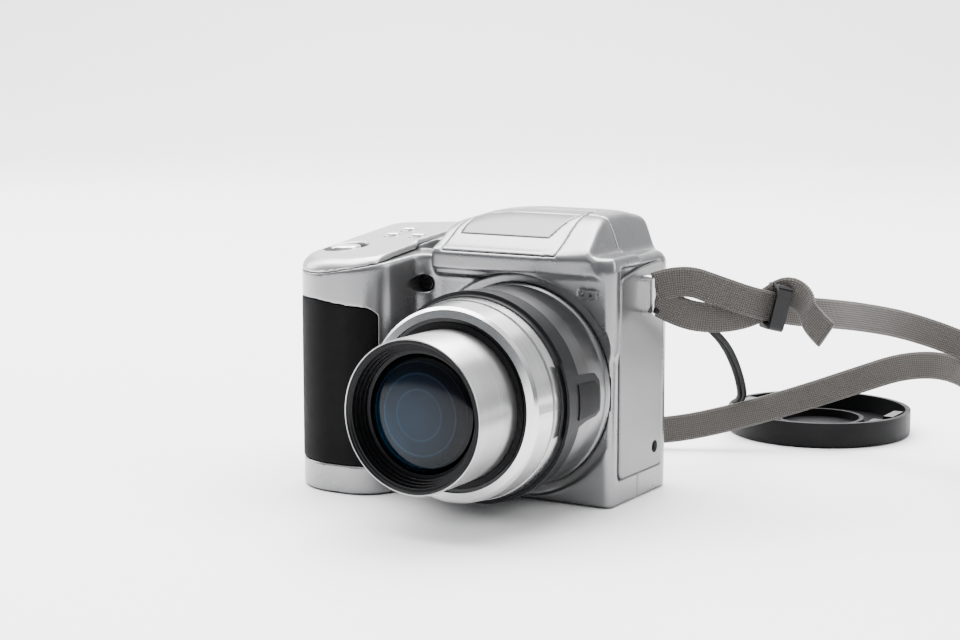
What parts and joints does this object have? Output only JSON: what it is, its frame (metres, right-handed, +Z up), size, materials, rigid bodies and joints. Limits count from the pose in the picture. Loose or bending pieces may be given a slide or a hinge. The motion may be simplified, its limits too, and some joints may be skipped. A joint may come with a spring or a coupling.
{
  "type": "compact digital camera",
  "caption": "Silver superzoom compact digital camera with its lens extended, a neck strap and a tethered lens cap.",
  "frame": {"origin": "mouth of the tripod socket, in the plane of the camera's base", "axes": "+Z up, -Y the way the lens looks, +X the camera's left-hand side, away from the grip"},
  "size_m": [0.2917, 0.2101, 0.0775],
  "materials": {
    "silver_shell": "fine satin silver paint on metal",
    "deck_silver": "light satin silver",
    "lens_silver": "turned satin aluminium",
    "bright_ring": "polished bright metal",
    "chrome_button": "bright plated",
    "charcoal_ring": "satin charcoal",
    "grip_rubber": "matte dark rubber",
    "flash_plate": "satin grey silver",
    "dark_plastic": "matte dark plastic",
    "gloss_dark": "gloss black",
    "cap_plastic": "matte charcoal plastic",
    "clear_diffuser": "ribbed clear diffuser",
    "lens_glass": "coated optical glass",
    "rear_screen": "clear window over a dark screen",
    "steel": "brushed steel",
    "brass": "machined brass",
    "webbing": "woven warm grey webbing",
    "black_cord": "braided black cord",
    "board": "green circuit board",
    "cell_wrap": "plain cell sleeve"
  },
  "bodies": {
    "body": {"side_panel": "deck_silver", "grip_rubber": "grip_rubber", "top_deck": "deck_silver", "front_shell": "silver_shell", "rear_shell": "silver_shell", "lens_shroud": "lens_silver", "lens_dark_ring": "charcoal_ring", "tab_badge": "dark_plastic", "lens_ring": "bright_ring", "lens_tube": "dark_plastic", "barrel_seal": "gloss_dark", "rear_lens_group": "lens_glass", "image_sensor": "gloss_dark", "af_lamp": "gloss_dark", "mic_cap": "dark_plastic", "strap_lugs": "steel", "power_jack": "dark_plastic", "base_cover": "dark_plastic", "tripod_socket": "brass", "dock_socket": "dark_plastic", "housing_screws": "steel", "battery_cells": "cell_wrap", "main_board": "board", "zoom_motor": "steel", "lcd_panel": "dark_plastic", "lcd_window": "rear_screen", "evf_display": "gloss_dark", "evf_lens": "lens_glass", "eyecup": "grip_rubber", "shutter_surround": "dark_plastic", "hinge_pins": "steel", "lens_cap": "cap_plastic", "strap_out": "webbing", "strap_back": "webbing", "strap_tail": "webbing", "strap_coil": "webbing", "strap_buckles": "gloss_dark", "lens_tether": "black_cord"},
    "zoom_barrel": {"zoom_barrel": "lens_silver", "filter_ring": "bright_ring", "front_glass": "lens_glass"},
    "mid_barrel": {"mid_barrel": "dark_plastic"},
    "flash": {"flash_head": "silver_shell", "flash_top_plate": "flash_plate", "flash_window": "clear_diffuser", "flash_tube": "clear_diffuser"},
    "battery_door": {"battery_door": "dark_plastic"},
    "shutter_button": {"shutter_button": "chrome_button"},
    "drive_button": {"drive_button": "chrome_button"},
    "focus_button": {"focus_button": "chrome_button"},
    "flash_button": {"flash_button": "chrome_button"},
    "delete_button": {"delete_button": "chrome_button"},
    "menu_button": {"menu_button": "chrome_button"},
    "review_button": {"review_button": "chrome_button"},
    "display_button": {"display_button": "chrome_button"},
    "mode_dial": {"mode_dial": "charcoal_ring"},
    "joystick": {"joystick": "gloss_dark"},
    "zoom_rocker": {"zoom_rocker": "chrome_button"},
    "cap_latch_left": {"cap_latch_left": "gloss_dark"},
    "cap_latch_right": {"cap_latch_right": "gloss_dark"}
  },
  "joints": [
    {"name": "zoom_slide", "type": "slide", "parent": "body", "child": "zoom_barrel", "axis": [0, 1, 0], "range_m": [0, 0.018]},
    {"name": "mid_slide", "type": "slide", "parent": "body", "child": "mid_barrel", "axis": [0, 1, 0], "range_m": [0, 0.009]},
    {"name": "flash_hinge", "type": "hinge", "parent": "body", "child": "flash", "pos_m": [0, 0.0014, 0.0742], "axis": [-1, 0, 0], "range_deg": [0, 60]},
    {"name": "battery_door_hinge", "type": "hinge", "parent": "body", "child": "battery_door", "pos_m": [-0.0368, -0.0125, 0.0008], "axis": [0, -1, 0], "range_deg": [0, 90]},
    {"name": "shutter_press", "type": "slide", "parent": "body", "child": "shutter_button", "axis": [0, 0, -1], "range_m": [0, 0.0012], "stiffness_N_per_m": 400, "springref_m": -0.0005},
    {"name": "drive_press", "type": "slide", "parent": "body", "child": "drive_button", "axis": [0, 0, -1], "range_m": [0, 0.0006], "stiffness_N_per_m": 400, "springref_m": -0.0005},
    {"name": "focus_press", "type": "slide", "parent": "body", "child": "focus_button", "axis": [0, 0, -1], "range_m": [0, 0.0006], "stiffness_N_per_m": 400, "springref_m": -0.0005},
    {"name": "flash_press", "type": "slide", "parent": "body", "child": "flash_button", "axis": [0, 0, -1], "range_m": [0, 0.0006], "stiffness_N_per_m": 400, "springref_m": -0.0005},
    {"name": "delete_press", "type": "slide", "parent": "body", "child": "delete_button", "axis": [0, -1, 0], "range_m": [0, 0.0005], "stiffness_N_per_m": 400, "springref_m": -0.0005},
    {"name": "menu_press", "type": "slide", "parent": "body", "child": "menu_button", "axis": [0, -1, 0], "range_m": [0, 0.0005], "stiffness_N_per_m": 400, "springref_m": -0.0005},
    {"name": "review_press", "type": "slide", "parent": "body", "child": "review_button", "axis": [0, -1, 0], "range_m": [0, 0.0005], "stiffness_N_per_m": 400, "springref_m": -0.0005},
    {"name": "display_press", "type": "slide", "parent": "body", "child": "display_button", "axis": [0, -1, 0], "range_m": [0, 0.0005], "stiffness_N_per_m": 400, "springref_m": -0.0005},
    {"name": "mode_dial_turn", "type": "hinge", "parent": "body", "child": "mode_dial", "pos_m": [-0.043, 0.021, 0.036], "axis": [0, 1, 0], "continuous": true},
    {"name": "joystick_tilt", "type": "hinge", "parent": "body", "child": "joystick", "pos_m": [-0.043, 0.021, 0.036], "axis": [1, 0, 0], "range_deg": [-5, 5], "stiffness_Nm_per_rad": 0.05},
    {"name": "zoom_rock", "type": "hinge", "parent": "body", "child": "zoom_rocker", "pos_m": [-0.046, 0.0196, 0.057], "axis": [0, 0, 1], "range_deg": [-5, 5], "stiffness_Nm_per_rad": 0.05},
    {"name": "latch_left_press", "type": "slide", "parent": "body", "child": "cap_latch_left", "axis": [1, 0, 0], "range_m": [0, 0.0012], "stiffness_N_per_m": 600, "springref_m": -0.0005},
    {"name": "latch_right_press", "type": "slide", "parent": "body", "child": "cap_latch_right", "axis": [-1, 0, 0], "range_m": [0, 0.0012], "stiffness_N_per_m": 600, "springref_m": -0.0005}
  ],
  "couplings": [
    {"joint": "mid_slide", "follows": "zoom_slide", "ratio": 0.5}
  ]
}
